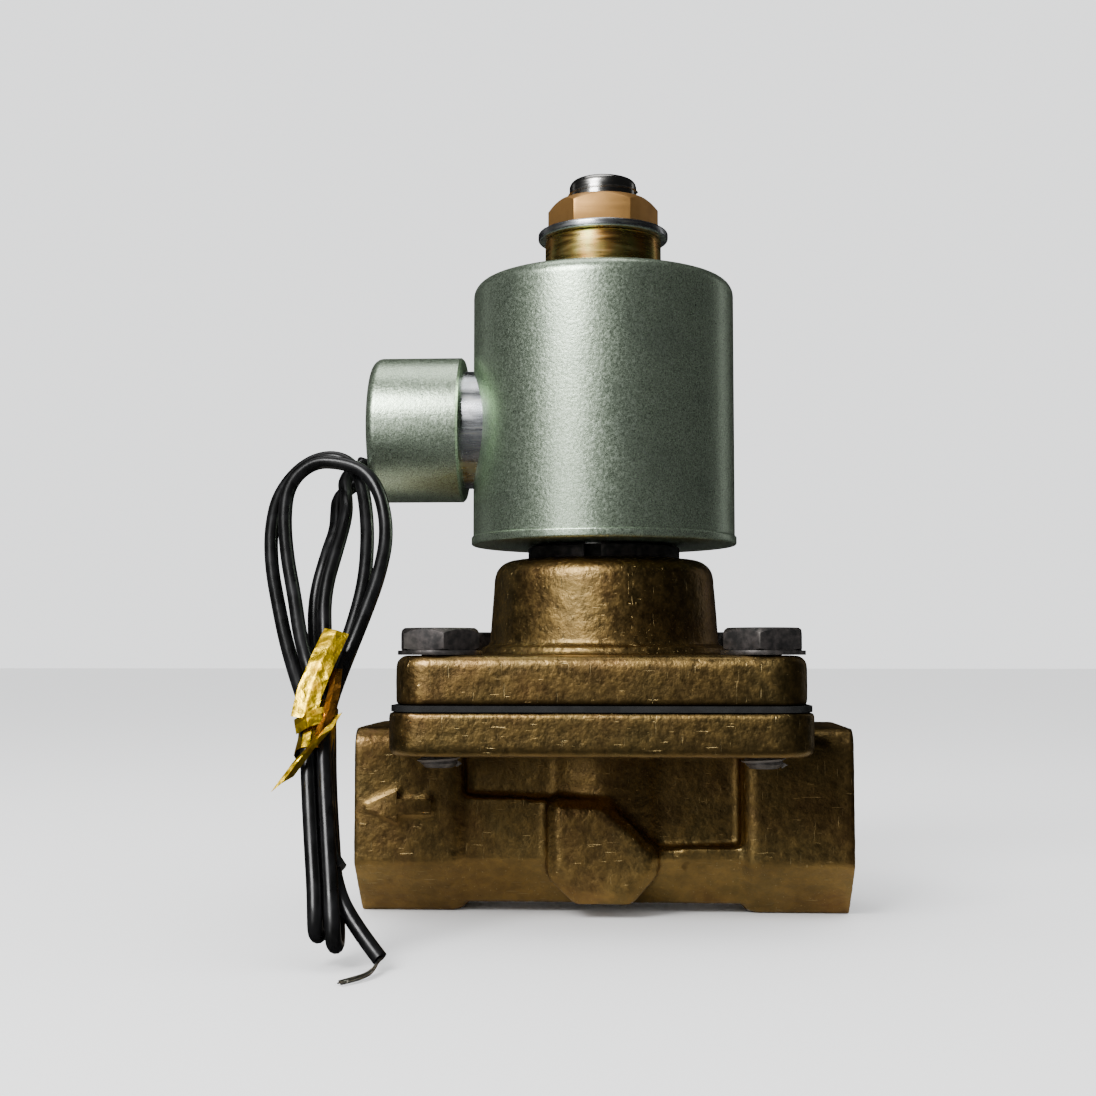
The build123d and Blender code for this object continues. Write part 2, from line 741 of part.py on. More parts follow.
with BuildPart() as conduit_hub:
    with BuildSketch(Plane.YZ.offset(-conduit_end)):
        with Locations((0, hub_height)):
            Circle(conduit_radius)
    extrude(amount=conduit_end - conduit_start)
    fillet(conduit_hub.faces().sort_by(Axis.X)[0].edges(), conduit_round)
    chamfer(conduit_hub.faces().sort_by(Axis.X)[-1].edges(), 0.3)
    for start, depth, radius in (
        (conduit_end, grommet_inset + grommet_length, conduit_bore),
        (conduit_end, conduit_end - conduit_start, conduit_waist),
        (conduit_start + nipple_seat, nipple_seat, nipple_radius + fit_gap),
    ):
        with BuildSketch(Plane.YZ.offset(-start)):
            with Locations((0, hub_height)):
                Circle(radius)
        extrude(amount=depth, mode=Mode.SUBTRACT)
conduit_hub.part.label = "conduit_hub"
export_step(conduit_hub.part, "parts/conduit_hub.step")

# Leads: each leaves the grommet on a slant, then curls forward and down to the hank
front_hole = (-3.4, -3.65)  # Y and Z from the hub's axis, in the grommet's face
back_hole = (-0.4, -5.6)
front_route = [
    (-34.8, -5.7, 63.9),
    (-36.6, -7.9, 62.2),
    (-37.4, -11.6, 60.6),
    (-36.6, -15.2, 58.6),
    (-35.3, -18.2, 55.4),
]
back_route = [
    (-34.8, -2.2, 62.3),
    (-37.0, -4.6, 60.4),
    (-38.6, -8.6, 58.6),
    (-38.4, -13.0, 56.4),
    (-37.2, -17.4, 53.6),
    (-36.2, -21.0, 50.2),
]

grommet_face = -conduit_end + grommet_inset
with BuildPart() as hub_grommet:
    with BuildSketch(Plane.YZ.offset(grommet_face)):
        with Locations((0, hub_height)):
            Circle(conduit_bore - stack_gap)
    extrude(amount=grommet_length)
    # a slanted relief round each lead, whose end face the lead starts from
    for hole, route in ((front_hole, front_route), (back_hole, back_route)):
        with BuildSketch(Plane.YZ.offset(grommet_face)):
            with Locations((hole[0], hub_height + hole[1])):
                Circle(relief_root)
        with BuildSketch(Plane(origin=route[0], z_dir=Vector(*route[1]) - Vector(*route[0]))):
            Circle(lead_diameter / 2 + face_gap)
        loft()
hub_grommet.part.label = "hub_grommet"
export_step(hub_grommet.part, "parts/hub_grommet.step")

# Collar, washer and nut that hold the coil on the stud
with BuildPart() as spacer_collar:
    with BuildSketch(Plane.XY.offset(collar_bottom)):
        Circle(collar_radius)
        Circle(stud_radius + loose_gap, mode=Mode.SUBTRACT)
    extrude(amount=collar_height)
    fillet(spacer_collar.edges().filter_by(GeomType.CIRCLE).sort_by(SortBy.RADIUS)[-2:], 0.4)
spacer_collar.part.label = "spacer_collar"
export_step(spacer_collar.part, "parts/spacer_collar.step")

with BuildPart() as stem_washer:
    with BuildSketch(Plane.XY.offset(collar_top)):
        Circle(stem_washer_radius)
        Circle(stud_radius + loose_gap, mode=Mode.SUBTRACT)
    extrude(amount=stem_washer_thickness)
    fillet(stem_washer.edges().filter_by(GeomType.CIRCLE).sort_by(SortBy.RADIUS)[-2:], 0.35)
stem_washer.part.label = "stem_washer"
export_step(stem_washer.part, "parts/stem_washer.step")

with BuildPart() as nut_cone:
    # a flat cone that rounds off the upper corners of the hexagon
    with BuildSketch(Plane.XZ):
        with BuildLine():
            corner = coil_nut_flats / 2 / cos(radians(30))
            Polyline(
                (0, stem_washer_top),
                (corner, stem_washer_top),
                (corner, coil_nut_top - 0.6),
                (coil_nut_flats / 2 - 0.3, coil_nut_top),
                (0, coil_nut_top),
                close=True,
            )
        make_face()
    revolve(axis=Axis.Z)

with BuildPart() as coil_nut:
    with BuildSketch(Plane.XY.offset(stem_washer_top)):
        RegularPolygon(coil_nut_flats / 2, 6, major_radius=False)
    extrude(amount=coil_nut_height)
    add(nut_cone.part, mode=Mode.INTERSECT)
    with BuildSketch(Plane.XY.offset(stem_washer_top)):
        Circle(stud_radius + fit_gap)
    extrude(amount=coil_nut_height, mode=Mode.SUBTRACT)
coil_nut.part.label = "coil_nut"
export_step(coil_nut.part, "parts/coil_nut.step")

def bend_radii(route):
    """The radius of each arc, from the runs beside it and the turn between them."""
    points = [Vector(*point) for point in route]
    radii = []
    for before, here, after in zip(points, points[1:], points[2:]):
        turn = radians((here - before).get_angle(after - here))
        radii.append(0.45 * min((here - before).length, (after - here).length) / tan(turn / 2))
    return radii


front_radii = bend_radii(front_route)
back_radii = bend_radii(back_route)
print("lead_front radii", [round(r, 1) for r in front_radii])
print("lead_back radii", [round(r, 1) for r in back_radii])

with BuildPart() as lead_front:
    with BuildLine() as front_line:
        FilletPolyline(*front_route, radius=front_radii)
    with BuildSketch(Plane(origin=front_line.line @ 0, z_dir=front_line.line % 0)):
        Circle(lead_diameter / 2)
    sweep()
lead_front.part.label = "lead_front"
export_step(lead_front.part, "parts/lead_front.step")

with BuildPart() as lead_back:
    with BuildLine() as back_line:
        FilletPolyline(*back_route, radius=back_radii)
    with BuildSketch(Plane(origin=back_line.line @ 0, z_dir=back_line.line % 0)):
        Circle(lead_diameter / 2)
    sweep()
lead_back.part.label = "lead_back"
export_step(lead_back.part, "parts/lead_back.step")

for lead, route in ((lead_front, front_line), (lead_back, back_line)):
    length = sum(edge.length for edge in route.line.edges())
    expected = pi * (lead_diameter / 2) ** 2 * length
    print(lead.part.label, "volume", round(lead.part.volume, 2), "section x length", round(expected, 2))

# Hank: one closed solid of its outline, in the plane that it leans in
hank_plane = Plane(
    origin=(hank_waist_x, hank_waist_y, hank_waist_z),
    x_dir=(1, 0, 0),
    z_dir=(0, -cos(radians(hank_lean)), sin(radians(hank_lean))),
)
with BuildPart() as lead_hank:
    with BuildSketch(hank_plane.offset(-hank_thickness / 2)):
        with BuildLine():
            left = Spline((-2.0, 2.6), (-5.6, 12.2), (-10.3, 26.2), (-3.0, 40.2))
            right = Spline((-3.0, 40.2), (7.2, 30.0), (5.0, 12.5), (2.0, 2.6), tangents=[left % 1, (-1, -3)])
            Polyline(right @ 1, (2.0, -2.6), (2.9, -9), (4.4, -18), (6.4, -24.3), (11.6, -30.6))
            Polyline((11.6, -30.6), (3.4, -30.6), (0.8, -18), (-0.9, -9), (-2.0, -2.6), (-2.0, 2.6))
        make_face()
    extrude(amount=hank_thickness)
lead_hank.part.label = "lead_hank"
export_step(lead_hank.part, "parts/lead_hank.step")

# Foil tie round the waist, with its two loose ends in front of the bundle
with BuildPart() as lead_tie:
    with BuildSketch(Plane(hank_plane.origin, x_dir=(1, 0, 0), z_dir=hank_plane.y_dir).offset(-tie_height / 2)):
        RectangleRounded(
            2 * (tie_reach + tie_thickness), hank_thickness + 2 * (fit_gap + tie_thickness), 1.2
        )
        Rectangle(2 * tie_reach, hank_thickness + 2 * fit_gap, mode=Mode.SUBTRACT)
    extrude(amount=tie_height)
    with BuildSketch(hank_plane.offset(hank_thickness / 2 + fit_gap)):
        with BuildLine():
            Polyline((-1.5, 1.0), (1.5, -1.0), (5.2, 10.4), (2.2, 11.6), close=True)
        make_face()
        with BuildLine():
            Polyline((1.5, 1.0), (-1.5, -1.4), (-5.8, -9.4), (-3.0, -9.6), close=True)
        make_face()
    extrude(amount=tie_thickness)
lead_tie.part.label = "lead_tie"
export_step(lead_tie.part, "parts/lead_tie.step")

# Bare strands at the cut end of one lead, lying on the ground
with BuildPart() as lead_strands:
    with BuildLine() as strand_line:
        FilletPolyline((-24.4, -50.0, 2.0), (-24.8, -54.4, 0.8), (-28.2, -58.4, 0.5), radius=3)
    with BuildSketch(Plane(origin=strand_line.line @ 0, z_dir=strand_line.line % 0)):
        Circle(strand_radius)
    sweep()
lead_strands.part.label = "lead_strands"
export_step(lead_strands.part, "parts/lead_strands.step")
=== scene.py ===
import json
from math import pi, radians

import bmesh
import bpy
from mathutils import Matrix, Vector

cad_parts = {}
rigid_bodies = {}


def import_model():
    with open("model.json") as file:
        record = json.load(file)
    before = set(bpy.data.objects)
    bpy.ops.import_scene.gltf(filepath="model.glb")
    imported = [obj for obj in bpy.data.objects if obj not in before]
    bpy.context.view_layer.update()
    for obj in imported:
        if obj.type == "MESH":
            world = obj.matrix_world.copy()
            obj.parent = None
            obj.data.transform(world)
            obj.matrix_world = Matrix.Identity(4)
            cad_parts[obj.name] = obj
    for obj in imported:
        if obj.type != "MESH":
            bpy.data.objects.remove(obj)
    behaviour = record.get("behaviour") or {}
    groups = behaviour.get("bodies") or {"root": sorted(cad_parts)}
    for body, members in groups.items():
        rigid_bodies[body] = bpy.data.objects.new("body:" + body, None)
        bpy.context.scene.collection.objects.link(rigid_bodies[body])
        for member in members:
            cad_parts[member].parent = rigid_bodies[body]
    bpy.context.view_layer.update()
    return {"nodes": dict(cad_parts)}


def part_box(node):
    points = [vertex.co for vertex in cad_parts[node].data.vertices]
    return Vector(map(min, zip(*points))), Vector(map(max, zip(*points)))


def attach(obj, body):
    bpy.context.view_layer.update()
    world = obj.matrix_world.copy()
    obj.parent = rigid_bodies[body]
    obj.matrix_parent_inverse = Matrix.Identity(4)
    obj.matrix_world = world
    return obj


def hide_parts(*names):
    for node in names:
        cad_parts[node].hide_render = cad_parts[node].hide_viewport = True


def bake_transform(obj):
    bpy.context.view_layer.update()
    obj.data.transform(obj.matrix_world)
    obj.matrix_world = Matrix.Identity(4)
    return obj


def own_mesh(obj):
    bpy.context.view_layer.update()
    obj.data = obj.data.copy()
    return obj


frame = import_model()
mm = 0.001
print("frame loaded:", len(frame["nodes"]), "nodes")


def metres(place):
    return Vector(place) * mm


stage = {
    "cameraPlace": (5, -232.9, 36.2),
    "cameraUp": 3.86,  # degrees above level
    "cameraLeft": 3.25,
    "lens": 52.06,
    "floorWidth": 8.0,
    "floorColour": (0.86, 0.86, 0.86, 1),
    "paintedFloorShadeNear": (0.40, 0.37, 0.32, 1),  # painted shade: the floor under the object, greyer than the camera sees it, as its parts mirror it
    # painted reflection: the floor beyond the object, black as the polished parts mirror it
    "paintedFloorDarkBeyond": (0.01, 0.01, 0.01, 1),
    "floorNear": 0.03,
    "floorFar": 0.085,
    "skyColour": (0.95, 0.96, 0.97, 1),
    "skyGlow": 1.9,
    "skyMirrored": 0.012,  # dark surroundings, as polished parts mirror them
}
lamps = {
    # place and width, height in mm, power in watts
    "keyLamp": {"place": (-235, -400, 380), "size": (230, 230), "power": 4.1},
    "lowLamp": {"place": (-225, -390, 75), "size": (200, 120), "power": 0.16},
    "rightRim": {"place": (330, 250, 120), "size": (60, 340), "power": 0.035},
    "leftRim": {"place": (-330, 190, 120), "size": (60, 300), "power": 0.012},
    "topLamp": {"place": (-60, 40, 480), "size": (240, 240), "power": 0.4},
}

bpy.ops.object.select_all(action="DESELECT")
bpy.ops.object.camera_add(
    location=metres(stage["cameraPlace"]),
    rotation=(radians(90 + stage["cameraUp"]), 0, radians(stage["cameraLeft"])),
)
camera = bpy.context.object
camera.data.lens = stage["lens"]
camera.data.clip_start = 0.01
bpy.context.scene.camera = camera

for name, lamp in lamps.items():
    aim = metres((0, 0, 50)) - metres(lamp["place"])
    bpy.ops.object.light_add(
        type="AREA", location=metres(lamp["place"]), rotation=aim.to_track_quat("-Z", "Y").to_euler()
    )
    light = bpy.context.object
    light.name = name
    light.data.shape = "RECTANGLE"
    light.data.size, light.data.size_y = (side * mm for side in lamp["size"])
    light.data.energy = lamp["power"]
    light.visible_camera = False
print("camera and lamps placed")


# both leads are folded into one hank, with a foil tie round its waist
leads = {
    "diameter": 1.9,
    "waist": (-35.0, -34.6, 28.9),
    "across": (1, 0, 0),
    "upwards": (0, 0.48481, 0.87462),
    "forwards": (0, -0.87462, 0.48481),
    "frontStart": [
        (-34.8, -5.7, 63.9), (-36.5, -7.9, 62.2), (-36.5, -11.6, 60.4), (-35.5, -15.2, 58.2),
        (-34.9, -18.2, 55.2),
    ],
    "backStart": [
        (-34.8, -2.2, 62.3), (-37.0, -4.6, 60.4), (-37.9, -8.6, 58.6), (-37.2, -13.1, 56.2),
        (-36.4, -17.6, 53.4), (-36.8, -21.2, 50.2),
    ],
    # then across, up and forwards from the waist
    "frontHank": [
        (-0.4, 25.4, -0.8), (-1.5, 18.2, -0.8), (-0.7, 11.1, -1.0), (0.2, 4.5, -1.6),
        (0.9, -0.4, -2.0), (1.75, -8.8, -2.0), (3.2, -18, -2.0), (4.3, -25.0, -2.0),
        (4.75, -28.0, -1.9), (4.9, -29.8, -1.1), (4.9, -29.8, 1.1), (4.75, -28.0, 1.9),
        (4.3, -25.0, 2.0), (3.2, -18, 2.0),
        (1.75, -8.8, 2.0), (0.75, -0.4, 2.0), (-1.3, 4.5, 2.5), (-3.3, 10, 2.0),
        (-4.7, 15.9, 1.7), (-6.6, 22.7, 1.5), (-7.7, 29, 1.5), (-7.6, 34.2, 1.7),
        (-4.6, 37.6, 2.0), (-0.6, 37.4, 2.0), (2.9, 36.0, 1.9), (5.3, 32.2, 1.5),
        (6.6, 26, 1.2), (6.0, 19.6, 1.2), (4.7, 14.2, 1.0), (3.2, 8.8, 0.8),
        (1.6, 3.4, 0.2), (0.95, -0.4, 0), (1.7, -8.8, 0), (3.2, -18, 0),
        (4.6, -23.6, 0), (7.4, -28.0, 0.1), (10.3, -31.4, 0.1),
    ],
    "backHank": [
        (-3.0, 18.2, -2.1), (-2.2, 11.1, -2.2), (-1.3, 4.5, -2.2), (-1.0, -0.4, -2.0),
        (-0.2, -8.8, -2.0), (1.25, -18, -2.0), (2.2, -23.6, -2.0), (2.6, -26.8, -1.9),
        (2.7, -28.6, -1.1), (2.7, -28.6, 1.1), (2.6, -26.8, 1.9), (2.2, -23.6, 2.0),
        (1.25, -18, 2.0), (-0.2, -8.8, 2.0),
        (-1.2, -0.4, 2.0), (-3.3, 4.5, 1.0), (-5.4, 10, 0.4), (-7.2, 15.9, 0.1),
        (-8.9, 22.0, -0.1), (-9.7, 28.0, -0.1), (-9.3, 34.0, -0.2), (-6.2, 39.3, -0.4),
        (-1.8, 40.6, -0.6), (1.5, 37.6, -0.6), (3.1, 31.0, -0.3), (3.8, 25.0, 0),
        (3.9, 19.6, 0), (3.2, 14.2, -0.2), (2.0, 8.8, -0.4), (0.2, 3.4, -0.2),
        (-0.95, -0.4, 0), (-0.2, -8.8, 0), (1.5, -16.5, 0), (4.6, -20.6, 0.1),
    ],
    "frontLength": 0.228,
    "backLength": 0.219,
}


def inHank(across, up, forwards):
    return (
        Vector(leads["waist"])
        + Vector(leads["across"]) * across
        + Vector(leads["upwards"]) * up
        + Vector(leads["forwards"]) * forwards
    )


def wireLine(name, places, diameter):
    line = bpy.data.curves.new(name, "CURVE")
    line.dimensions = "3D"
    line.bevel_depth = diameter * mm / 2
    line.bevel_resolution = 4
    line.resolution_u = 8
    line.use_fill_caps = True
    spline = line.splines.new("NURBS")
    spline.points.add(len(places) - 1)
    for point, place in zip(spline.points, places):
        point.co = (*metres(place), 1)
    spline.order_u = 3
    spline.use_endpoint_u = True
    piece = bpy.data.objects.new(name, line)
    bpy.context.scene.collection.objects.link(piece)
    return piece


leadFront = wireLine(
    "leadFront", leads["frontStart"] + [inHank(*place) for place in leads["frontHank"]], leads["diameter"]
)
leadBack = wireLine(
    "leadBack", leads["backStart"] + [inHank(*place) for place in leads["backHank"]], leads["diameter"]
)
print("leads laid")


class Reading:
    # the value of one socket; sums written on it add Math nodes
    def __init__(self, sheet, socket):
        self.sheet = sheet
        self.socket = socket

    def __add__(self, other):
        return self.sheet.sums("ADD", self, other)

    def __mul__(self, other):
        return self.sheet.sums("MULTIPLY", self, other)

    __radd__ = __add__
    __rmul__ = __mul__


class Finish:
    def __init__(self, name, **constants):
        self.material = bpy.data.materials.new(name)
        self.material.use_nodes = True
        tree = self.material.node_tree
        tree.nodes.clear()
        self.nodes, self.links = tree.nodes, tree.links
        self.shader = self.nodes.new("ShaderNodeBsdfPrincipled")
        output = self.nodes.new("ShaderNodeOutputMaterial")
        self.links.new(self.shader.outputs[0], output.inputs[0])
        self.places = self.add("ShaderNodeTexCoord", out="Object")
        self.give(**constants)

    def feed(self, socket, value):
        if isinstance(value, Reading):
            self.links.new(value.socket, socket)
        else:
            socket.default_value = value

    def give(self, **values):  # Base_Color for "Base Color"
        for name, value in values.items():
            self.feed(self.shader.inputs[name.replace("_", " ")], value)

    def add(self, kind, settings=None, values=None, out=0):
        node = self.nodes.new(kind)
        for name, value in (settings or {}).items():
            setattr(node, name, value)
        for name, value in (values or {}).items():
            self.feed(node.inputs[name], value)
        return Reading(self, node.outputs[out])

    def sums(self, operation, first, second):
        return self.add("ShaderNodeMath", {"operation": operation}, {0: first, 1: second})

    def noise(self, size, detail=3.0, stretch=(1, 1, 1), turn=(0, 0, 0), shift=(0, 0, 0)):
        # size of one feature in mm
        place = self.add(
            "ShaderNodeMapping", None,
            {"Vector": self.places, "Scale": stretch, "Rotation": turn, "Location": shift},
        )
        values = {"Vector": place, "Scale": 1 / (size * mm), "Detail": detail}
        return self.add("ShaderNodeTexNoise", None, values)

    def cells(self, size):
        return self.add("ShaderNodeTexVoronoi", None, {"Vector": self.places, "Scale": 1 / (size * mm)})

    def rise(self, value, low, high, least=0.0, most=1.0):
        return self.add(
            "ShaderNodeMapRange", None,
            {"Value": value, "From Min": low, "From Max": high, "To Min": least, "To Max": most},
        )

    def tint(self, mask, first, second):
        return self.add("ShaderNodeMix", {"data_type": "RGBA"}, {0: mask, 6: first, 7: second}, out=2)

    def relief(self, height, depth, over=None):
        # depth in mm
        values = {"Height": height, "Distance": depth * mm, "Strength": 1.0}
        if over:
            values["Normal"] = over
        return self.add("ShaderNodeBump", None, values)


brassColours = {
    "brown": (0.26, 0.165, 0.062, 1),
    "olive": (0.25, 0.18, 0.068, 1),
    "red": (0.31, 0.145, 0.06, 1),
    "gold": (0.42, 0.27, 0.085, 1),
    "soot": (0.05, 0.03, 0.012, 1),
    "bright": (0.95, 0.74, 0.36, 1),
}


def forgedBrass():
    finish = Finish("forgedBrass", Metallic=1.0)
    colours = brassColours
    patches = finish.rise(finish.noise(15, 3), 0.32, 0.68)
    flush = finish.rise(finish.noise(11, 3, shift=(0.3, 0.1, 0)), 0.50, 0.74)
    tarnish = finish.rise(finish.noise(5.5, 5, shift=(0, 0.7, 0.2)), 0.42, 0.70)
    spots = finish.rise(finish.noise(3.0, 2, shift=(0.5, 0.2, 0.9)), 0.70, 0.78)
    dents = finish.noise(1.5, 4)
    grain = finish.noise(0.45, 4)
    nicks = finish.rise(finish.noise(0.30, 1, stretch=(1, 1, 0.10), turn=(0.3, 0.75, 0.3)), 0.70, 0.80)
    cuts = finish.rise(finish.noise(0.28, 1, stretch=(0.10, 1, 1), turn=(0.1, 0.6, 0.35)), 0.71, 0.80)
    base = finish.tint(patches, colours["brown"], colours["olive"])
    base = finish.tint(flush * 0.5, base, colours["red"])
    base = finish.tint(finish.rise(dents + grain * 0.5, 0.62, 0.95) * 0.6, base, colours["gold"])
    base = finish.tint(tarnish * 0.35 + spots * 0.45, base, colours["soot"])
    base = finish.tint(finish.rise(nicks + cuts, 0, 1) * 0.3, base, colours["bright"])
    shine = finish.rise(dents * 0.6 + grain * 0.6, 0.35, 0.85, 0.27, 0.47) + tarnish * 0.08
    bumps = finish.relief(dents, 0.10)
    bumps = finish.relief(finish.noise(0.9, 3, shift=(0.2, 0, 0.5)), 0.07, bumps)
    bumps = finish.relief(grain, 0.035, bumps)
    bumps = finish.relief((nicks + cuts) * -1, 0.04, bumps)
    finish.give(Base_Color=base, Roughness=shine, Normal=bumps)
    return finish.material


def turnedMetal(name, colour, dull, rough=0.25, ring=0.35, metal=1.0, lines=0.012):
    # fine tool rings and a few stains
    finish = Finish(name, Metallic=metal)
    rings = finish.noise(ring, 3, stretch=(0.04, 0.04, 1))
    stains = finish.rise(finish.noise(3.2, 5), 0.42, 0.68)
    fine = finish.noise(0.25, 2)
    base = finish.tint(stains * 0.6 + fine * 0.2, (*colour, 1), (*dull, 1))
    shine = finish.rise(rings * 0.6 + stains * 0.4, 0.2, 0.8, rough, rough + 0.16)
    finish.give(Base_Color=base, Roughness=shine, Normal=finish.relief(rings + fine * 0.3, lines))
    return finish.material


def rolledZinc(name, colour, second, rough):
    # passivated plating, its tint drifts over the surface
    finish = Finish(name, Metallic=1.0)
    drift = finish.rise(finish.noise(2.4, 3, stretch=(1, 1, 0.5)), 0.35, 0.65)
    streaks = finish.noise(0.5, 4, stretch=(0.12, 0.12, 1))
    base = finish.tint(drift, (*colour, 1), (*second, 1))
    base = finish.tint(finish.rise(streaks, 0.55, 0.75) * 0.25, base, (0.95, 0.80, 0.50, 1))
    finish.give(Base_Color=base, Roughness=finish.rise(streaks, 0.3, 0.7, rough, rough + 0.14))
    finish.give(Normal=finish.relief(streaks, 0.008))
    return finish.material


def flakePaint():
    # silver-green hammered paint with fine flake
    finish = Finish("flakePaint", Metallic=0.97, Coat_Roughness=0.3, Coat_Weight=0.06)
    flake = finish.noise(0.16, 2)
    mottle = finish.noise(0.42, 4)
    clouds = finish.noise(7, 3)
    base = finish.tint(finish.rise(flake, 0.36, 0.66), (0.32, 0.40, 0.29, 1), (0.74, 0.90, 0.68, 1))
    base = finish.tint(finish.rise(mottle, 0.5, 0.72) * 0.45, base, (0.80, 0.92, 0.77, 1))
    base = finish.tint(finish.rise(clouds, 0.5, 0.7) * 0.2, base, (0.25, 0.30, 0.26, 1))
    chips = finish.rise(finish.noise(1.5, 6, shift=(0.4, 0.2, 0.8)), 0.735, 0.76)
    base = finish.tint(chips, base, (0.07, 0.08, 0.07, 1))
    shine = finish.rise(mottle, 0.3, 0.7, 0.27, 0.38)
    bumps = finish.relief(mottle, 0.030)
    bumps = finish.relief(flake, 0.010, bumps)
    finish.give(Base_Color=base, Roughness=shine, Normal=bumps)
    return finish.material


def blackenedSteel(name, tone, rough):
    finish = Finish(name, Metallic=0.85)
    forging = finish.noise(1.0, 5)
    scale = finish.noise(0.2, 3)
    worn = finish.rise(finish.add("ShaderNodeNewGeometry", out="Pointiness"), 0.53, 0.66)
    base = finish.tint(finish.rise(forging, 0.4, 0.65), (tone, tone * 0.95, tone * 0.93, 1),
                       (tone * 2.4, tone * 2.1, tone * 2.0, 1))
    base = finish.tint(worn * 0.5, base, (0.35, 0.32, 0.29, 1))
    finish.give(Base_Color=base, Roughness=finish.rise(scale, 0.3, 0.7, rough, rough + 0.2))
    finish.give(Normal=finish.relief(forging + scale * 0.3, 0.03))
    return finish.material


def mouldedPart(name, light, dark, rough, bump=0.02):
    # rubber, nylon and tape
    finish = Finish(name, Metallic=0.0)
    bloom = finish.rise(finish.noise(2.0, 5), 0.38, 0.66)
    grain = finish.noise(0.22, 3)
    finish.give(Base_Color=finish.tint(bloom * 0.7 + grain * 0.3, (*dark, 1), (*light, 1)))
    finish.give(Roughness=finish.rise(grain, 0.3, 0.7, rough, rough + 0.15))
    finish.give(Normal=finish.relief(grain, bump))
    return finish.material


def woundCopper():
    # enamelled wire, about one turn every half millimetre
    finish = Finish("woundCopper", Metallic=1.0)
    turns = finish.add(
        "ShaderNodeTexWave", {"wave_type": "BANDS", "bands_direction": "Z", "wave_profile": "SIN"},
        {"Vector": finish.places, "Scale": 330.0, "Distortion": 0.6, "Detail": 1.0},
    )
    slip = finish.noise(1.4, 3)
    # the colour goes from dark to bright across each turn: painted shade in the grooves between turns
    base = finish.tint(turns * 0.7 + slip * 0.3, (0.16, 0.055, 0.02, 1), (0.78, 0.36, 0.16, 1))
    finish.give(Base_Color=base, Roughness=finish.rise(slip, 0.3, 0.7, 0.22, 0.38))
    finish.give(Normal=finish.relief(turns, 0.12))
    return finish.material


def leadSleeve():
    finish = Finish("leadSleeve", Metallic=0.0, Specular_IOR_Level=0.35)
    finish.give(Coat_Roughness=0.15, Coat_Weight=0.08)
    haze = finish.rise(finish.noise(3.0, 4), 0.45, 0.7)
    drawn = finish.noise(0.5, 3, stretch=(1, 0.15, 0.15))
    finish.give(Base_Color=finish.tint(haze * 0.6, (0.002, 0.002, 0.002, 1), (0.007, 0.007, 0.008, 1)))
    finish.give(Roughness=finish.rise(drawn + haze * 0.3, 0.3, 0.9, 0.24, 0.42))
    finish.give(Normal=finish.relief(drawn, 0.015))
    return finish.material


def crinkledFoil(name, colour, deep):
    finish = Finish(name, Metallic=1.0)
    folds = finish.noise(1.5, 4)
    creases = finish.cells(1.1)
    base = finish.tint(finish.rise(folds, 0.45, 0.72), (*colour, 1), (*deep, 1))
    finish.give(Base_Color=base, Roughness=finish.rise(folds, 0.3, 0.7, 0.24, 0.40))
    bumps = finish.relief(folds, 0.16)
    finish.give(Normal=finish.relief(creases, 0.07, bumps))
    return finish.material


finishes = {
    "forged_brass": forgedBrass(),
    "machined_brass": turnedMetal("machinedBrass", (0.66, 0.47, 0.27), (0.46, 0.30, 0.16), 0.30),
    "nut_brass": turnedMetal("nutBrass", (0.50, 0.27, 0.085), (0.38, 0.20, 0.065), 0.38, 0.6, metal=0.9),
    "black_rubber": mouldedPart("blackRubber", (0.006, 0.006, 0.006), (0.002, 0.002, 0.002), 0.7),
    "green_rubber": mouldedPart("greenRubber", (0.05, 0.17, 0.07), (0.02, 0.09, 0.035), 0.45),
    "dark_steel": blackenedSteel("darkSteel", 0.040, 0.36),
    "black_steel": blackenedSteel("blackSteel", 0.020, 0.40),
    "stainless": turnedMetal("stainless", (0.62, 0.61, 0.58), (0.42, 0.41, 0.39), 0.16),
    "spring_steel": turnedMetal("springSteel", (0.60, 0.60, 0.60), (0.36, 0.35, 0.34), 0.22),
    "bright_zinc": rolledZinc("brightZinc", (0.72, 0.74, 0.76), (0.52, 0.55, 0.58), 0.20),
    "yellow_zinc": rolledZinc("yellowZinc", (0.80, 0.43, 0.12), (0.60, 0.54, 0.16), 0.22),
    "green_paint": flakePaint(),
    "white_nylon": mouldedPart("whiteNylon", (0.72, 0.71, 0.66), (0.60, 0.59, 0.54), 0.4),
    "copper": woundCopper(),
    "amber_tape": mouldedPart("amberTape", (0.58, 0.33, 0.06), (0.40, 0.20, 0.03), 0.25),
    "lead_cover": leadSleeve(),
    "gold_foil": crinkledFoil("goldFoil", (0.98, 0.66, 0.015), (0.50, 0.28, 0.006)),
    "copper_foil": crinkledFoil("copperFoil", (0.82, 0.36, 0.06), (0.38, 0.13, 0.02)),
    "tinned_wire": rolledZinc("tinnedWire", (0.70, 0.70, 0.68), (0.5, 0.5, 0.48), 0.25),
}
slotOfNode = {name: node.data.materials[0].name for name, node in frame["nodes"].items()}
print("finishes mixed:", len(finishes))

bpy.ops.object.select_all(action="DESELECT")
bpy.ops.mesh.primitive_plane_add(size=stage["floorWidth"])
floor = bpy.context.object
floor.name = "floor"
floorFinish = Finish("floorFinish", Roughness=0.8)
# painted reflection: polished parts see the floor grey near the object and black beyond, while the camera
# sees it pale
oval = floorFinish.add("ShaderNodeMapping", None, {"Vector": floorFinish.places, "Scale": (1, 2, 1)})
distance = floorFinish.add("ShaderNodeVectorMath", {"operation": "LENGTH"}, {0: oval}, out="Value")
paintedDarkBeyondMask = floorFinish.rise(distance, stage["floorNear"], stage["floorFar"])
paintedFloorReflection = floorFinish.tint(paintedDarkBeyondMask, stage["paintedFloorShadeNear"], stage["paintedFloorDarkBeyond"])
glossy = floorFinish.add("ShaderNodeLightPath", out="Is Glossy Ray")
floorFinish.give(Base_Color=floorFinish.tint(glossy, stage["floorColour"], paintedFloorReflection))
floor.data.materials.append(floorFinish.material)

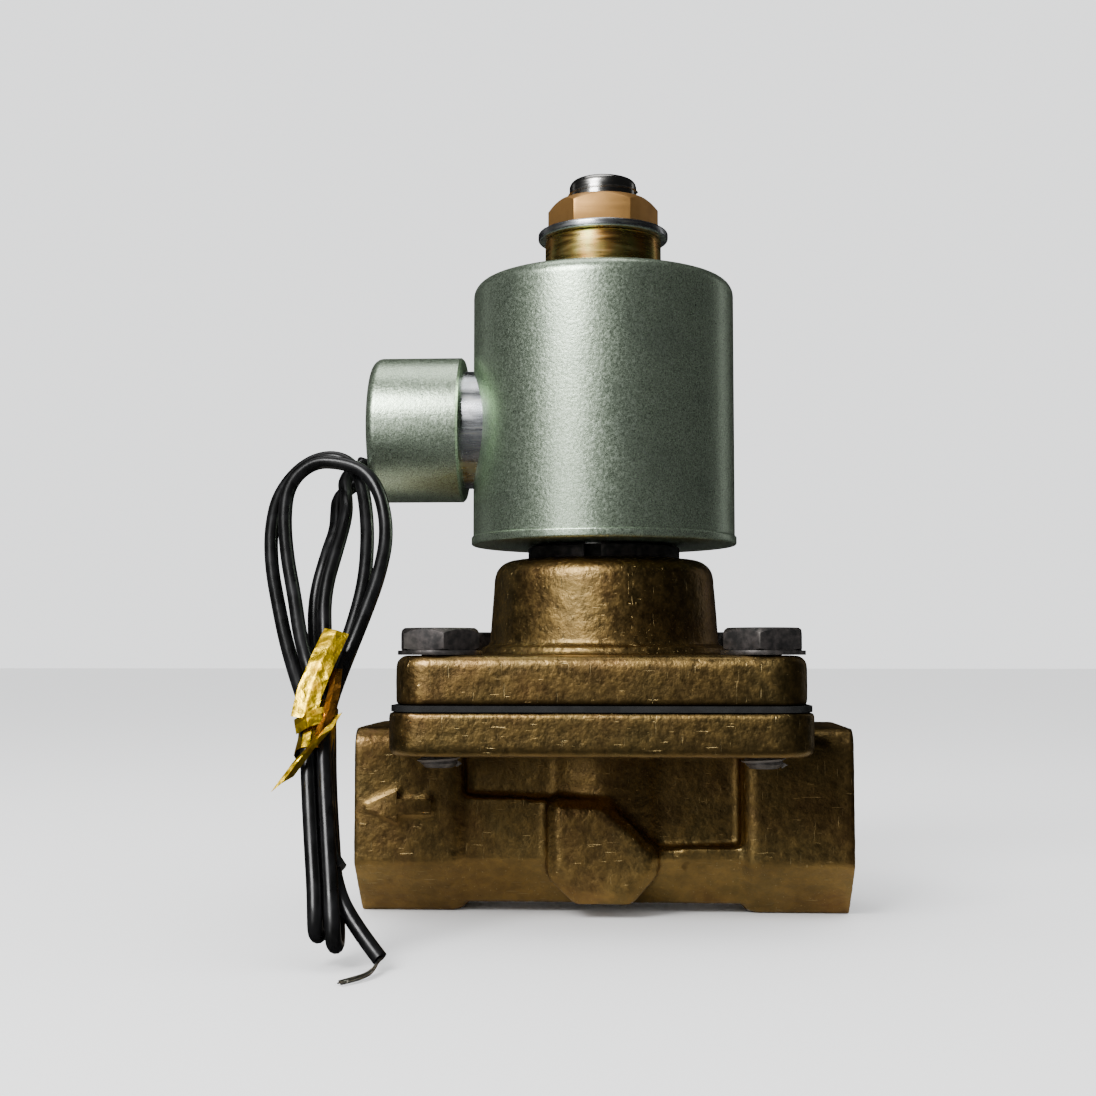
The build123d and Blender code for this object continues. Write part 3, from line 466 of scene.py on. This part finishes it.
sky = bpy.data.worlds.new("sky")
sky.use_nodes = True
bpy.context.scene.world = sky
skyNodes, skyLinks = sky.node_tree.nodes, sky.node_tree.links
background = skyNodes["Background"]
background.inputs["Color"].default_value = stage["skyColour"]
seen = skyNodes.new("ShaderNodeLightPath")
strength = skyNodes.new("ShaderNodeMapRange")
strength.inputs["To Min"].default_value = stage["skyGlow"]
strength.inputs["To Max"].default_value = stage["skyMirrored"]
skyLinks.new(seen.outputs["Is Glossy Ray"], strength.inputs["Value"])
skyLinks.new(strength.outputs[0], background.inputs["Strength"])


# bench tools, each for one piece at a time
def pickUp(piece):
    if bpy.context.mode != "OBJECT":
        bpy.ops.object.mode_set(mode="OBJECT")
    bpy.ops.object.select_all(action="DESELECT")
    bpy.context.view_layer.objects.active = piece
    piece.select_set(True)


def work(piece):
    pickUp(piece)
    bpy.ops.object.mode_set(mode="EDIT")
    bpy.ops.mesh.select_all(action="SELECT")


def done(piece, name, angle=30):
    if bpy.context.mode != "OBJECT":
        bpy.ops.object.mode_set(mode="OBJECT")
    piece.name = piece.data.name = name
    pickUp(piece)
    bpy.ops.object.transform_apply(location=True, rotation=True, scale=True)
    bpy.ops.object.shade_smooth_by_angle(angle=radians(angle))
    return piece


def choose(kind, test):
    bpy.ops.mesh.select_mode(type=kind)
    bpy.ops.mesh.select_all(action="DESELECT")
    mesh = bmesh.from_edit_mesh(bpy.context.object.data)
    parts = {"FACE": mesh.faces, "EDGE": mesh.edges, "VERT": mesh.verts}[kind]
    for part in parts:
        if test(part):
            part.select_set(True)
    bmesh.update_edit_mesh(bpy.context.object.data)


def finishWith(piece, kind, **settings):
    pickUp(piece)
    modifier = piece.modifiers.new(kind.title(), kind)
    for name, value in settings.items():
        setattr(modifier, name, value)
    bpy.ops.object.modifier_apply(modifier=modifier.name)


def easeEdges(piece, width, angle, segments=2):
    # a bevel on every edge sharper than the angle
    finishWith(
        piece, "BEVEL", width=width * mm, segments=segments, limit_method="ANGLE", angle_limit=radians(angle)
    )


def fit(piece, body, slot, *nodes, finish=None):
    piece.data.materials.clear()
    piece.data.materials.append(finishes[finish or slot])
    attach(piece, body)
    if nodes:
        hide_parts(*nodes)


def copyOf(node, name, edge=0.0):
    # a merged copy of a imported node, its sharp edges eased when an edge width is given
    piece = frame["nodes"][node].copy()
    piece.data = piece.data.copy()
    for key in list(piece.keys()):
        del piece[key]
    piece.parent = None
    bpy.context.scene.collection.objects.link(piece)
    work(piece)
    bpy.ops.mesh.customdata_custom_splitnormals_clear()
    bpy.ops.mesh.remove_doubles(threshold=0.000002)
    if edge:
        bpy.ops.mesh.dissolve_limited(angle_limit=radians(0.6))
    bpy.ops.object.mode_set(mode="OBJECT")
    if edge:
        easeEdges(piece, edge, 40)
    return done(piece, name)


def turned(name, rings, sides=72):
    # radius and height of each ring in mm, from the lower face up
    radius, low = rings[0]
    bpy.ops.object.select_all(action="DESELECT")
    bpy.ops.mesh.primitive_circle_add(
        vertices=sides, radius=radius * mm, fill_type="NGON", location=metres((0, 0, low))
    )
    piece = bpy.context.object
    bpy.ops.object.transform_apply(location=True)
    bpy.ops.object.mode_set(mode="EDIT")
    bpy.ops.mesh.select_all(action="SELECT")
    for (inner, start), (outer, end) in zip(rings, rings[1:]):
        bpy.ops.mesh.extrude_region_move(TRANSFORM_OT_translate={"value": (0, 0, (end - start) * mm)})
        share = outer / inner
        bpy.ops.transform.resize(value=(share, share, 1), center_override=metres((0, 0, end)))
    bpy.ops.mesh.select_all(action="SELECT")
    bpy.ops.mesh.normals_make_consistent(inside=False)
    return done(piece, name)


def hexagon(name, flats, low, high, turn=0.0):
    bpy.ops.object.select_all(action="DESELECT")
    bpy.ops.mesh.primitive_cylinder_add(
        vertices=6, radius=flats * mm / 2 / 0.8660254, depth=(high - low) * mm,
        location=metres((0, 0, (low + high) / 2)), rotation=(0, 0, radians(turn)),
    )
    return done(bpy.context.object, name)


def keepCommon(piece, other):
    finishWith(piece, "BOOLEAN", operation="INTERSECT", object=other, solver="EXACT")
    bpy.data.objects.remove(other)


def threadRidge(name, radius, pitch, low, turns, inward=False):
    # one closed ridge that winds round the Z axis
    across = 0.52 * pitch
    bpy.ops.object.select_all(action="DESELECT")
    bpy.ops.mesh.primitive_circle_add(
        vertices=3, radius=across * mm, fill_type="NOTHING",
        location=metres((radius, 0, low)), rotation=(pi / 2, 0 if inward else pi, 0),
    )
    piece = bpy.context.object
    bpy.ops.object.transform_apply(location=True, rotation=True)
    bpy.ops.object.mode_set(mode="EDIT")
    bpy.ops.transform.rotate(
        value=pi / 2, orient_axis="Y", center_override=metres((radius, 0, low))
    )
    bpy.ops.object.mode_set(mode="OBJECT")
    finishWith(
        piece, "SCREW", axis="Z", angle=2 * pi, screw_offset=pitch * mm, iterations=turns, steps=40,
        render_steps=40, use_merge_vertices=False,
    )
    work(piece)
    bpy.ops.mesh.remove_doubles(threshold=0.000001)
    bpy.ops.mesh.fill_holes(sides=4)
    bpy.ops.mesh.select_all(action="SELECT")
    bpy.ops.mesh.normals_make_consistent(inside=False)
    return done(piece, name, 25)


def together(name, *pieces):
    pickUp(pieces[0])
    for piece in pieces[1:]:
        piece.select_set(True)
    bpy.ops.object.join()
    return done(pieces[0], name)


def moveMesh(piece, offset=(0, 0, 0), turn=0.0, axis="Z"):
    pickUp(piece)
    piece.location = metres(offset)
    piece.rotation_euler["XYZ".index(axis)] = radians(turn)
    bpy.ops.object.transform_apply(location=True, rotation=True)


casting = {
    "grid": 0.42, "ease": 6, "mostTriangles": 185000,
    "dents": [(2.6, 0.09), (0.8, 0.04)],  # size and depth
}


def forged(node, name):
    piece = copyOf(node, name)
    finishWith(piece, "REMESH", mode="VOXEL", voxel_size=casting["grid"] * mm, adaptivity=0.0)
    finishWith(piece, "SMOOTH", factor=0.5, iterations=casting["ease"])
    for size, depth in casting["dents"]:
        dents = bpy.data.textures.new(name + "Dents", "CLOUDS")
        dents.noise_scale = size * mm
        dents.noise_depth = 2
        finishWith(
            piece, "DISPLACE", texture=dents, texture_coords="LOCAL", direction="NORMAL",
            strength=depth * mm, mid_level=1.0,
        )
    triangles = sum(len(face.vertices) - 2 for face in piece.data.polygons)
    if triangles > casting["mostTriangles"]:
        finishWith(piece, "DECIMATE", ratio=casting["mostTriangles"] / triangles)
    pickUp(piece)
    bpy.ops.object.shade_smooth()
    print(name, "cast from", triangles, "triangles")
    return piece


bodyCasting = forged("valve_body", "bodyCasting")
fit(bodyCasting, "root", "forged_brass", "valve_body")
bonnetCasting = forged("bonnet", "bonnetCasting")
fit(bonnetCasting, "root", "forged_brass", "bonnet")

arrow = {
    "tip": (-32.6, 15.3), "length": 9.0, "head": 4.3, "shaft": 2.1,
    "face": -13.3, "rise": 0.8, "sunk": 0.4, "edge": 0.32, "point": 0.12,
}
bpy.ops.object.select_all(action="DESELECT")
bpy.ops.mesh.primitive_plane_add(size=0.001, rotation=(pi / 2, 0, 0))
flowArrow = bpy.context.object
bpy.ops.object.transform_apply(rotation=True)
bpy.ops.object.mode_set(mode="EDIT")
tipX, tipZ = arrow["tip"]
neckX, endX = tipX + arrow["head"], tipX + arrow["length"]
halfShaft, halfHead = arrow["shaft"] / 2, arrow["head"] / 2
for (x, z), (toX, toZ) in {
    (-1, -1): (neckX, tipZ - halfShaft), (-1, 1): (neckX, tipZ + halfShaft),
    (1, -1): (endX, tipZ - halfShaft), (1, 1): (endX, tipZ + halfShaft),
}.items():
    corner = Vector((x, 0, z)) * 0.0005
    choose("VERT", lambda vertex: (vertex.co - corner).length < 0.00002)
    bpy.ops.transform.translate(value=metres((toX, arrow["face"] + arrow["sunk"], toZ)) - corner)
# the head grows out of the shaft's left-hand end, then closes to its tip
choose("EDGE", lambda edge: all(abs(vertex.co.x - neckX * mm) < 0.00001 for vertex in edge.verts))
bpy.ops.mesh.extrude_region_move(TRANSFORM_OT_translate={"value": (-0.00001, 0, 0)})
share = arrow["head"] / arrow["shaft"]
bpy.ops.transform.resize(value=(1, 1, share), center_override=metres((neckX, arrow["face"], tipZ)))
bpy.ops.mesh.extrude_region_move(TRANSFORM_OT_translate={"value": (-arrow["head"] * mm, 0, 0)})
bpy.ops.transform.resize(value=(1, 1, arrow["point"]), center_override=metres((tipX, arrow["face"], tipZ)))
bpy.ops.mesh.select_all(action="SELECT")
thickness = (arrow["rise"] + arrow["sunk"]) * mm
bpy.ops.mesh.extrude_region_move(TRANSFORM_OT_translate={"value": (0, -thickness, 0)})
bpy.ops.mesh.select_all(action="SELECT")
bpy.ops.mesh.normals_make_consistent(inside=False)
bpy.ops.object.mode_set(mode="OBJECT")
easeEdges(flowArrow, arrow["edge"], 50, 3)
done(flowArrow, "flowArrow", 40)
fit(flowArrow, "root", "forged_brass")

ports = {"radius": 10.35, "pitch": 1.814, "start": 21.6, "turns": 6, "height": 13.3}
for name, side in (("portThreadIn", 1), ("portThreadOut", -1)):
    thread = threadRidge(name, ports["radius"], ports["pitch"], ports["start"], ports["turns"], inward=True)
    moveMesh(thread, (0, 0, ports["height"]), 90 * side, "Y")
    fit(thread, "root", "machined_brass")
print("castings made")

# the flange screws are modelled once, then copied
screws = {
    "pitch": 43.0, "flats": 10.0, "seat": 36.8, "headTop": 39.8, "edge": 0.16,
    # radius and height of each ring
    "headRound": [(5.25, 36.8), (5.9, 37.15), (5.9, 38.95), (4.7, 39.8), (4.0, 39.8)],
    "dish": [(3.6, 39.55), (3.9, 39.9)],
    "shank": [(1.9, 21.3), (2.45, 21.85), (2.45, 36.9)],
    "thread": {"radius": 2.55, "pitch": 1.0, "low": 21.75, "turns": 14},
    "turned": {"screwFrontLeft": 12, "screwFrontRight": -8, "screwBackLeft": 0, "screwBackRight": 24},
}
head = hexagon("screwHead", screws["flats"], screws["seat"], screws["headTop"])
keepCommon(head, turned("headBlank", screws["headRound"]))
dish = turned("headDish", screws["dish"], 48)
finishWith(head, "BOOLEAN", operation="DIFFERENCE", object=dish, solver="EXACT")
bpy.data.objects.remove(dish)
easeEdges(head, screws["edge"], 25)
shank = turned("screwShank", screws["shank"], 40)
ridge = threadRidge("screwRidge", **screws["thread"])
flangeScrew = together("flangeScrew", head, shank, ridge)
half = screws["pitch"] / 2
corners = {
    "screwFrontLeft": (-half, -half), "screwFrontRight": (half, -half),
    "screwBackLeft": (-half, half), "screwBackRight": (half, half),
}
for name, (x, y) in corners.items():
    screw = flangeScrew.copy()
    screw.data = flangeScrew.data.copy()
    bpy.context.scene.collection.objects.link(screw)
    moveMesh(screw, (x, y, 0), screws["turned"][name])
    screw.name = name
    fit(screw, "root", "dark_steel", "flange_screws")
bpy.data.objects.remove(flangeScrew)
print("screws made")

topNut = {
    "flats": 14.2, "turn": 30, "edge": 0.12,
    "foot": 7.6, "footRise": 0.4, "widest": 8.3, "crownDrop": 1.25, "crown": 6.75,
    "mouth": 6.0, "mouthDepth": 0.9, "bore": 5.05, "topMouth": 5.9, "topMouthDepth": 0.7, "past": 0.01,
}
low, high = (corner.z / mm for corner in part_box("coil_nut"))
nutRound = [
    (topNut["foot"], low), (topNut["widest"], low + topNut["footRise"]),
    (topNut["widest"], high - topNut["crownDrop"]), (topNut["crown"], high), (topNut["mouth"], high),
]
nutBore = [
    (topNut["mouth"], low - topNut["past"]), (topNut["bore"], low + topNut["mouthDepth"]),
    (topNut["bore"], high - topNut["topMouthDepth"]), (topNut["topMouth"], high + topNut["past"]),
]
coilNut = hexagon("coilNut", topNut["flats"], low, high, topNut["turn"])
keepCommon(coilNut, turned("nutBlank", nutRound, 96))
bore = turned("nutBore", nutBore)
finishWith(coilNut, "BOOLEAN", operation="DIFFERENCE", object=bore, solver="EXACT")
bpy.data.objects.remove(bore)
easeEdges(coilNut, topNut["edge"], 25)
done(coilNut, "coilNut")
fit(coilNut, "root", "machined_brass", "coil_nut", finish="nut_brass")

stud = {"radius": 4.75, "pitch": 1.0, "turns": 2, "below": 0.4}  # below the nut's top
studThread = threadRidge("studThread", stud["radius"], stud["pitch"], high - stud["below"], stud["turns"])
fit(studThread, "root", "stainless")

# these parts keep their imported shape, some with eased edges
easedParts = {
    "spacer_collar": ("spacerCollar", "root", 0.0),
    "stem_washer": ("stemWasher", "root", 0.0),
    "tube_ring_nut": ("ringNut", "root", 0.15),
    "screw_washers": ("screwWashers", "root", 0.08),
    "armature_tube": ("armatureTube", "root", 0.0),
    "fixed_core": ("fixedCore", "root", 0.0),
    "coil_can": ("coilCan", "coil", 0.0),
    "coil_base_plate": ("coilBasePlate", "coil", 0.12),
    "conduit_hub": ("conduitHub", "coil", 0.0),
    "hub_nipple": ("hubNipple", "coil", 0.0),
    "hub_grommet": ("hubGrommet", "coil", 0.1),
}
for node, (name, body, edge) in easedParts.items():
    fit(copyOf(node, name, edge), body, slotOfNode[node], node)
print("top parts and coil made")

# the springs are copied and shortened to their share of the imported length; the diaphragm is copied as it
# is
springs = {
    # name, height of the fixed end, what is kept at full lift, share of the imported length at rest
    "main_spring": ("mainSpring", 0.040, 0.6, 1),
    "plunger_spring": ("plungerSpring", 0.0716, 0.77, 0.90),  # leaves room for the plunger's own lift
}
for node, (name, top, keep, share) in springs.items():
    spring = copyOf(node, name)
    work(spring)
    bpy.ops.transform.resize(value=(1, 1, share), center_override=(0, 0, top))
    done(spring, name)
    fit(spring, "root", slotOfNode[node], node)
    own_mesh(spring)

diaphragm = copyOf("diaphragm", "diaphragmSheet")
diaphragm.data.materials.clear()
diaphragm.data.materials.append(finishes["black_rubber"])
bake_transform(diaphragm)
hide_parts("diaphragm")

tie = {
    "wrapAcross": 2.35, "wrapDeep": 3.3, "wrapHigh": 6.4, "wrapPlace": (-0.1, -3.0, 0.0), "thickness": 0.05,
    "pinch": (0.93, 0.95, 1), "rimTurn": 14, "lean": -29,
    "wrapCreases": (2.2, 0.22), "stripCreases": (1.9, 0.10),  # size and depth
    # places across, up and forwards from the waist, with half the width across and up
    "strips": {
        "tieEndUpper": {
            "places": [(-1.2, -2.6, 3.4), (-0.7, 0.6, 4.1), (0.5, 4.4, 4.7), (1.9, 9.3, 4.4)],
            "half": (1.6, -0.45), "fold": 0.35, "finish": "gold_foil",
        },
        "tieEndLower": {
            "places": [(2.3, -2.6, 3.3), (1.4, -5.2, 4.0), (-0.5, -7.9, 4.1), (-2.7, -11.4, 3.7)],
            "half": (1.25, 1.0), "fold": 0.3, "finish": "gold_foil",
        },
        "tieBacking": {
            "places": [(1.2, -4.8, 3.7), (2.1, -1.6, 4.0), (2.3, 1.4, 3.6), (2.2, 4.4, 3.3)],
            "half": (0.75, 0.05), "fold": 0.35, "finish": "copper_foil",
        },
        "tieCross": {
            "places": [(-2.2, -3.4, 2.9), (-0.6, -2.9, 3.9), (1.2, -2.2, 3.9), (2.6, -1.3, 2.9)],
            "half": (-0.25, 1.0), "fold": 0.4, "finish": "gold_foil",
        },
    },
}


def crumple(piece, name, size, depth, finish):
    finishWith(piece, "SUBSURF", subdivision_type="SIMPLE", levels=3, render_levels=3)
    creases = bpy.data.textures.new(name + "Creases", "VORONOI")
    creases.noise_scale = size * mm
    finishWith(
        piece, "DISPLACE", texture=creases, texture_coords="LOCAL", strength=depth * mm, mid_level=0.4
    )
    finishWith(piece, "SOLIDIFY", thickness=tie["thickness"] * mm, offset=0)
    done(piece, name, 25)
    piece.data.materials.clear()
    piece.data.materials.append(finishes[finish])


def foilStrip(name, strip):
    # a strip with a crease along its middle, shaped row by row
    rows = len(strip["places"])
    bpy.ops.object.select_all(action="DESELECT")
    bpy.ops.mesh.primitive_grid_add(x_subdivisions=2, y_subdivisions=rows - 1, size=0.002)
    piece = bpy.context.object
    bpy.ops.object.mode_set(mode="EDIT")
    side = Vector((*strip["half"], 0))
    for row, place in enumerate(strip["places"]):
        for column in (-1, 0, 1):
            corner = Vector((0.001 * column, 0.001 * (2 * row / (rows - 1) - 1), 0))
            lift = strip["fold"] * (1 - abs(column))
            target = metres(inHank(*(Vector(place) + side * column + Vector((0, 0, lift)))))
            choose("VERT", lambda vertex: (vertex.co - corner).length < 0.00003)
            bpy.ops.transform.translate(value=target - corner)
    bpy.ops.mesh.select_all(action="SELECT")
    bpy.ops.mesh.normals_make_consistent(inside=False)
    bpy.ops.object.mode_set(mode="OBJECT")
    crumple(piece, name, *tie["stripCreases"], strip["finish"])
    return piece


bpy.ops.object.select_all(action="DESELECT")
bpy.ops.mesh.primitive_cylinder_add(
    vertices=14, radius=mm, depth=tie["wrapHigh"] * mm, end_fill_type="NOTHING", location=(0, 0, 0)
)
wrap = bpy.context.object
work(wrap)
bpy.ops.transform.resize(value=(tie["wrapAcross"], tie["wrapDeep"], 1))
bpy.ops.mesh.subdivide(number_cuts=2, smoothness=0)
choose("VERT", lambda vertex: abs(vertex.co.z) < 0.0015)
bpy.ops.transform.resize(value=tie["pinch"])
choose("VERT", lambda vertex: vertex.co.z > 0.0031)
bpy.ops.transform.rotate(
    value=radians(tie["rimTurn"]), orient_axis="Y", center_override=(0, 0, tie["wrapHigh"] * mm / 2)
)
bpy.ops.object.mode_set(mode="OBJECT")
moveMesh(wrap, inHank(*tie["wrapPlace"]), tie["lean"], "X")
crumple(wrap, "tieWrap", *tie["wrapCreases"], "gold_foil")
ends = [foilStrip(name, strip) for name, strip in tie["strips"].items()]
foilTie = together("foilTie", wrap, *ends)
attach(foilTie, "coil")
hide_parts("lead_tie")

strands = {
    "thickness": 0.22,
    "lines": [
        [(-24.9, -49.6, 1.5), (-25.0, -52.6, 0.6), (-26.2, -55.4, 0.30), (-28.0, -58.0, 0.3)],
        [(-24.7, -49.6, 1.7), (-24.6, -52.8, 0.9), (-25.4, -55.8, 0.35), (-27.6, -58.4, 0.3)],
        [(-24.6, -49.6, 1.3), (-25.3, -52.4, 0.5), (-26.8, -54.6, 0.3), (-28.1, -56.8, 0.3)],
        [(-24.5, -49.6, 1.6), (-24.8, -52.2, 1.0), (-25.6, -54.8, 0.6), (-27.0, -57.6, 0.55)],
    ],
}
wires = [
    wireLine("strand" + str(number), line, strands["thickness"])
    for number, line in enumerate(strands["lines"], 1)
]
for wire in wires:
    pickUp(wire)
    bpy.ops.object.convert(target="MESH")
tinnedStrands = together("tinnedStrands", *[bpy.data.objects["strand" + str(n)] for n in range(1, 5)])
fit(tinnedStrands, "coil", "tinned_wire", "lead_strands")
print("tie and strands made")

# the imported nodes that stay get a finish
shown = [name for name, node in frame["nodes"].items() if not node.hide_render]
for name in shown:
    node = frame["nodes"][name]
    node.data.materials.clear()
    node.data.materials.append(finishes[slotOfNode[name]])
print("packed nodes refinished:", len(shown))

for piece, length, start, nodes in (
    (leadFront, leads["frontLength"], leads["frontStart"][0], ("lead_front", "lead_hank")),
    (leadBack, leads["backLength"], leads["backStart"][0], ("lead_back", "lead_hank")),
):
    fit(piece, "coil", "lead_cover", *nodes)
